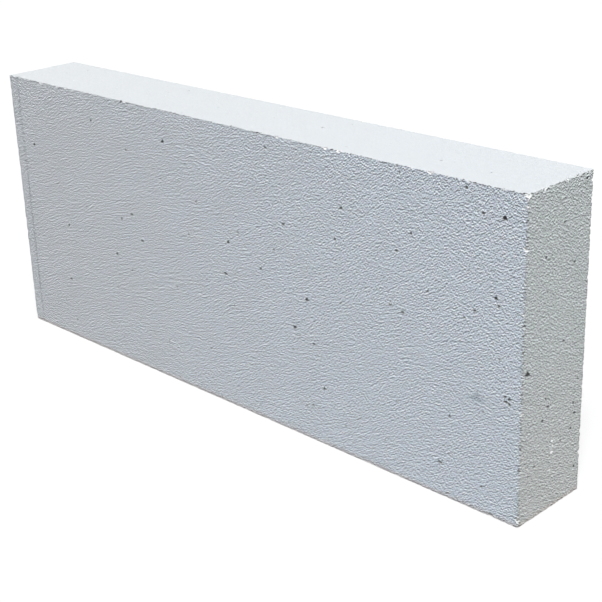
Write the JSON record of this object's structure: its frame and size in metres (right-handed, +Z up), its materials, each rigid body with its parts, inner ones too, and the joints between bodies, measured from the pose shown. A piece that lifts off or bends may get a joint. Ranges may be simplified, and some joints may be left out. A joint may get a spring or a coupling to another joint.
{
  "type": "aerated concrete block",
  "caption": "Long thin rectangular block of aerated concrete with flat sawn faces, slightly worn and chipped edges and small open pores, standing on its narrow bed face.",
  "frame": {"origin": "centre of the lower bed face, at floor level", "axes": "+X along the length towards the end face with the crushed corner, +Y from the front face to the back face, +Z up"},
  "size_m": [0.6, 0.075, 0.25],
  "materials": {
    "aerated_concrete": "dry, matt, finely porous light grey aerated concrete as sawn by wire"
  },
  "bodies": {
    "root": {"concrete_block": "aerated_concrete"}
  },
  "joints": []
}
